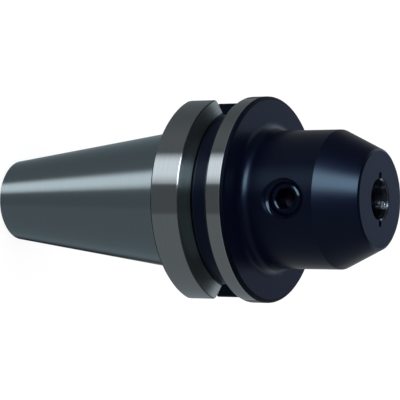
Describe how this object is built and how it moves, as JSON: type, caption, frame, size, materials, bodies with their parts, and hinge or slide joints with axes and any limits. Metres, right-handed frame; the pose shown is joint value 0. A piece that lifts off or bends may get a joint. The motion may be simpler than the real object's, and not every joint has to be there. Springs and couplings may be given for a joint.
{
  "type": "side lock end mill holder",
  "caption": "Steel tool holder with a steep taper shank, a slotted gripper flange and a black oxide nose, in which a side screw clamps the flat of an end mill shank.",
  "frame": {"origin": "centre of the small end of the taper, on which the holder stands", "axes": "+Z runs along the tool axis towards the nose, -Y is the side that the clamping screw faces, and the drive slots lie towards +X and -X"},
  "size_m": [0.063, 0.063, 0.1284],
  "materials": {
    "holder_steel": "ground bright on the taper and on the rims of the flange, blue-black oxide in the groove and slots and on the nose",
    "screw_steel": "black oxide, satin, with bright worn edges"
  },
  "bodies": {
    "holder": {"holder_body": "holder_steel"},
    "screw": {"clamping_screw": "screw_steel"}
  },
  "joints": [
    {"name": "screw_travel", "type": "slide", "parent": "holder", "child": "screw", "axis": [0, -1, 0], "range_m": [-0.0035, 0.0035]}
  ]
}
